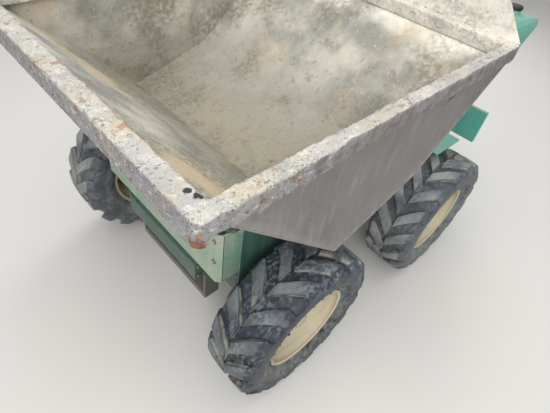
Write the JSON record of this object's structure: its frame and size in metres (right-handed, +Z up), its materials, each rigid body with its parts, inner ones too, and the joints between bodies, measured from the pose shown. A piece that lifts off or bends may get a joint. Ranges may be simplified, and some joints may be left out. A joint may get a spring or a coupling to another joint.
{
  "type": "site dumper",
  "caption": "Front-tipping site dumper with an open steel skip, equal driven wheels with deep lugs, rear steering and a rear driver's station.",
  "frame": {"origin": "on the ground under the middle of the overall length and width", "axes": "+X forward towards the skip's lip, +Y to the vehicle's left, +Z up"},
  "size_m": [2.66, 1.538, 1.6203],
  "materials": {
    "dusty_mint_paint": "dusty sprayed enamel",
    "dark_green_paint": "sprayed enamel, dirty",
    "teal_paint": "sprayed enamel, dusty",
    "skip_paint": "enamel under dried mortar",
    "concrete_crust": "steel crusted with dried concrete and rust",
    "worn_steel": "bare worn steel",
    "chromed_rod": "hard chrome",
    "engine_aluminium": "cast, oily",
    "exhaust_steel": "rusty",
    "black_plastic": "moulded",
    "seat_vinyl": "coated cloth",
    "lamp_red": "moulded lens",
    "cream_paint": "enamel, dusty",
    "tyre_rubber": "moulded, dusty"
  },
  "bodies": {
    "chassis": {"front_axle": "dark_green_paint", "rear_axle_beam": "dark_green_paint", "steering_ram": "worn_steel", "chassis_rails": "dark_green_paint", "cross_members": "dark_green_paint", "cheek_plates": "dark_green_paint", "pivot_pins": "worn_steel", "front_plate": "dusty_mint_paint", "skip_rest": "dark_green_paint", "cylinder_mount": "dark_green_paint", "engine_block": "engine_aluminium", "gearbox": "engine_aluminium", "propshafts": "worn_steel", "exhaust": "exhaust_steel", "footplate": "teal_paint", "engine_bay": "teal_paint", "fuel_tank": "teal_paint", "hydraulic_tank": "teal_paint", "cowl": "teal_paint", "steering_column": "black_plastic", "control_levers": "black_plastic", "pedals": "worn_steel", "rear_bumper": "teal_paint", "rear_lamps": "lamp_red"},
    "skip": {"skip_shell": "skip_paint", "skip_rim": "concrete_crust", "skip_guard": "skip_paint", "skip_lugs": "skip_paint"},
    "tipping_barrel": {"cylinder_barrel": "dark_green_paint"},
    "tipping_rod": {"cylinder_rod": "chromed_rod"},
    "knuckle_left": {"knuckle_left": "dark_green_paint"},
    "knuckle_right": {"knuckle_right": "dark_green_paint"},
    "steering_rod": {"steering_rod": "worn_steel"},
    "steering_wheel": {"steering_wheel": "black_plastic"},
    "engine_cover": {"engine_cover": "teal_paint", "seat_cushion": "seat_vinyl", "seat_back": "seat_vinyl"},
    "wheel_front_left": {"wheel_front_left": "cream_paint", "tyre_front_left": "tyre_rubber"},
    "wheel_front_right": {"wheel_front_right": "cream_paint", "tyre_front_right": "tyre_rubber"},
    "wheel_rear_left": {"wheel_rear_left": "cream_paint", "tyre_rear_left": "tyre_rubber"},
    "wheel_rear_right": {"wheel_rear_right": "cream_paint", "tyre_rear_right": "tyre_rubber"}
  },
  "joints": [
    {"name": "front_left_spin", "type": "hinge", "parent": "chassis", "child": "wheel_front_left", "pos_m": [0.782, 0.637, 0.38], "axis": [0, 1, 0], "continuous": true},
    {"name": "front_right_spin", "type": "hinge", "parent": "chassis", "child": "wheel_front_right", "pos_m": [0.782, -0.637, 0.38], "axis": [0, 1, 0], "continuous": true},
    {"name": "steer_left", "type": "hinge", "parent": "chassis", "child": "knuckle_left", "pos_m": [-0.324, 0.46, 0.38], "axis": [0, 0, 1], "range_deg": [-25, 25]},
    {"name": "steer_right", "type": "hinge", "parent": "chassis", "child": "knuckle_right", "pos_m": [-0.324, -0.46, 0.38], "axis": [0, 0, 1], "range_deg": [-25, 25]},
    {"name": "rear_left_spin", "type": "hinge", "parent": "knuckle_left", "child": "wheel_rear_left", "pos_m": [-0.324, 0.637, 0.38], "axis": [0, 1, 0], "continuous": true},
    {"name": "rear_right_spin", "type": "hinge", "parent": "knuckle_right", "child": "wheel_rear_right", "pos_m": [-0.324, -0.637, 0.38], "axis": [0, 1, 0], "continuous": true},
    {"name": "steering_rod_slide", "type": "slide", "parent": "chassis", "child": "steering_rod", "axis": [0, -1, 0], "range_m": [-0.065, 0.065]},
    {"name": "skip_tip", "type": "hinge", "parent": "chassis", "child": "skip", "pos_m": [0.962, 0, 0.905], "axis": [0, 1, 0], "range_deg": [0, 65]},
    {"name": "barrel_swing", "type": "hinge", "parent": "chassis", "child": "tipping_barrel", "pos_m": [0.942, 0, 0.32], "axis": [0, 1, 0], "range_deg": [0, 11.68]},
    {"name": "rod_slide", "type": "slide", "parent": "tipping_barrel", "child": "tipping_rod", "axis": [-0.4717, 0, 0.8818], "range_m": [0, 0.29294]},
    {"name": "steering_wheel_turn", "type": "hinge", "parent": "chassis", "child": "steering_wheel", "pos_m": [-0.353, 0, 1.11557], "axis": [-0.5, 0, 0.866], "continuous": true},
    {"name": "engine_cover_lift", "type": "hinge", "parent": "chassis", "child": "engine_cover", "pos_m": [-1.197, 0, 0.8853], "axis": [0, -1, 0], "range_deg": [0, 60]}
  ],
  "couplings": [
    {"joint": "steer_right", "follows": "steer_left", "ratio": 1},
    {"joint": "steering_rod_slide", "follows": "steer_left", "m_per_rad": 0.14528},
    {"joint": "barrel_swing", "follows": "skip_tip", "ratio": 0.17353},
    {"joint": "rod_slide", "follows": "skip_tip", "m_per_rad": 0.25734}
  ]
}
